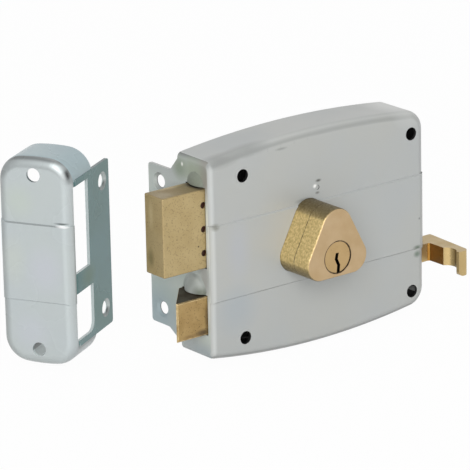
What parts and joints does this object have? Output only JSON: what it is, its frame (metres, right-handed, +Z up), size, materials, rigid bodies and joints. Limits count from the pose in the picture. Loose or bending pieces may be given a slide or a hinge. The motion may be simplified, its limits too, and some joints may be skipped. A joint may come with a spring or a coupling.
{
  "type": "rim box lock",
  "caption": "Rim box lock for a door: sheet case with deadbolt, sprung latch with a finger pull, pear-shaped key cylinder, and a box strike.",
  "frame": {"origin": "where the key's axis meets the door face", "axes": "+X from the forend towards the finger pull, +Y into the door, +Z up; the case stands in front of y = 0"},
  "size_m": [0.2245, 0.1093, 0.1096],
  "materials": {
    "case_sheet": "smooth light grey-blue lacquer on drawn steel",
    "strike_sheet": "semi-gloss light grey lacquer on drawn steel",
    "plated_steel": "zinc plated",
    "cast_brass": "satin, edges worn bright",
    "cylinder_brass": "matt, rough cast at the sides",
    "pin_brass": "turned",
    "spring_steel": "drawn wire",
    "cast_pull": "cast, satin"
  },
  "bodies": {
    "lock_case": {"case_shell": "case_sheet", "back_plate": "plated_steel", "case_posts": "plated_steel", "back_screws": "plated_steel", "cylinder_body": "cylinder_brass", "cylinder_screws": "plated_steel", "cylinder_spacers": "plated_steel", "driver_pins": "pin_brass", "pin_springs": "spring_steel", "pinion_bush": "pin_brass", "latch_spring": "spring_steel", "latch_bracket": "plated_steel", "bracket_rivets": "plated_steel", "lever_pivot": "plated_steel", "strike_box": "strike_sheet"},
    "key_train": {"key_plug": "cylinder_brass", "key_pins": "pin_brass", "plug_clip": "spring_steel", "drive_pinion": "plated_steel"},
    "deadbolt": {"deadbolt_head": "cast_brass", "deadbolt_tail": "plated_steel", "deadbolt_rivets": "spring_steel"},
    "latch": {"latch_bolt": "cast_brass", "latch_rod": "plated_steel", "latch_pull": "cast_pull", "pull_pin": "plated_steel", "lever_pin": "plated_steel"},
    "lever": {"latch_lever": "plated_steel"}
  },
  "joints": [
    {"name": "deadbolt_slide", "type": "slide", "parent": "lock_case", "child": "deadbolt", "axis": [1, 0, 0], "range_m": [0, 0.0245]},
    {"name": "key_turn", "type": "hinge", "parent": "lock_case", "child": "key_train", "pos_m": [0, -0.02, 0], "axis": [0, 1, 0], "range_deg": [0, 360]},
    {"name": "latch_slide", "type": "slide", "parent": "lock_case", "child": "latch", "axis": [1, 0, 0], "range_m": [0, 0.0165], "stiffness_N_per_m": 450, "springref_m": -0.012, "deforming": ["latch_spring"]},
    {"name": "lever_swing", "type": "hinge", "parent": "lock_case", "child": "lever", "pos_m": [0.027, -0.0047, 0.003], "axis": [0, -1, 0], "range_deg": [0, 35.3]}
  ],
  "couplings": [
    {"joint": "key_turn", "follows": "deadbolt_slide", "rad_per_m": 256.46},
    {"joint": "lever_swing", "follows": "latch_slide", "rad_per_m": 37.243}
  ]
}
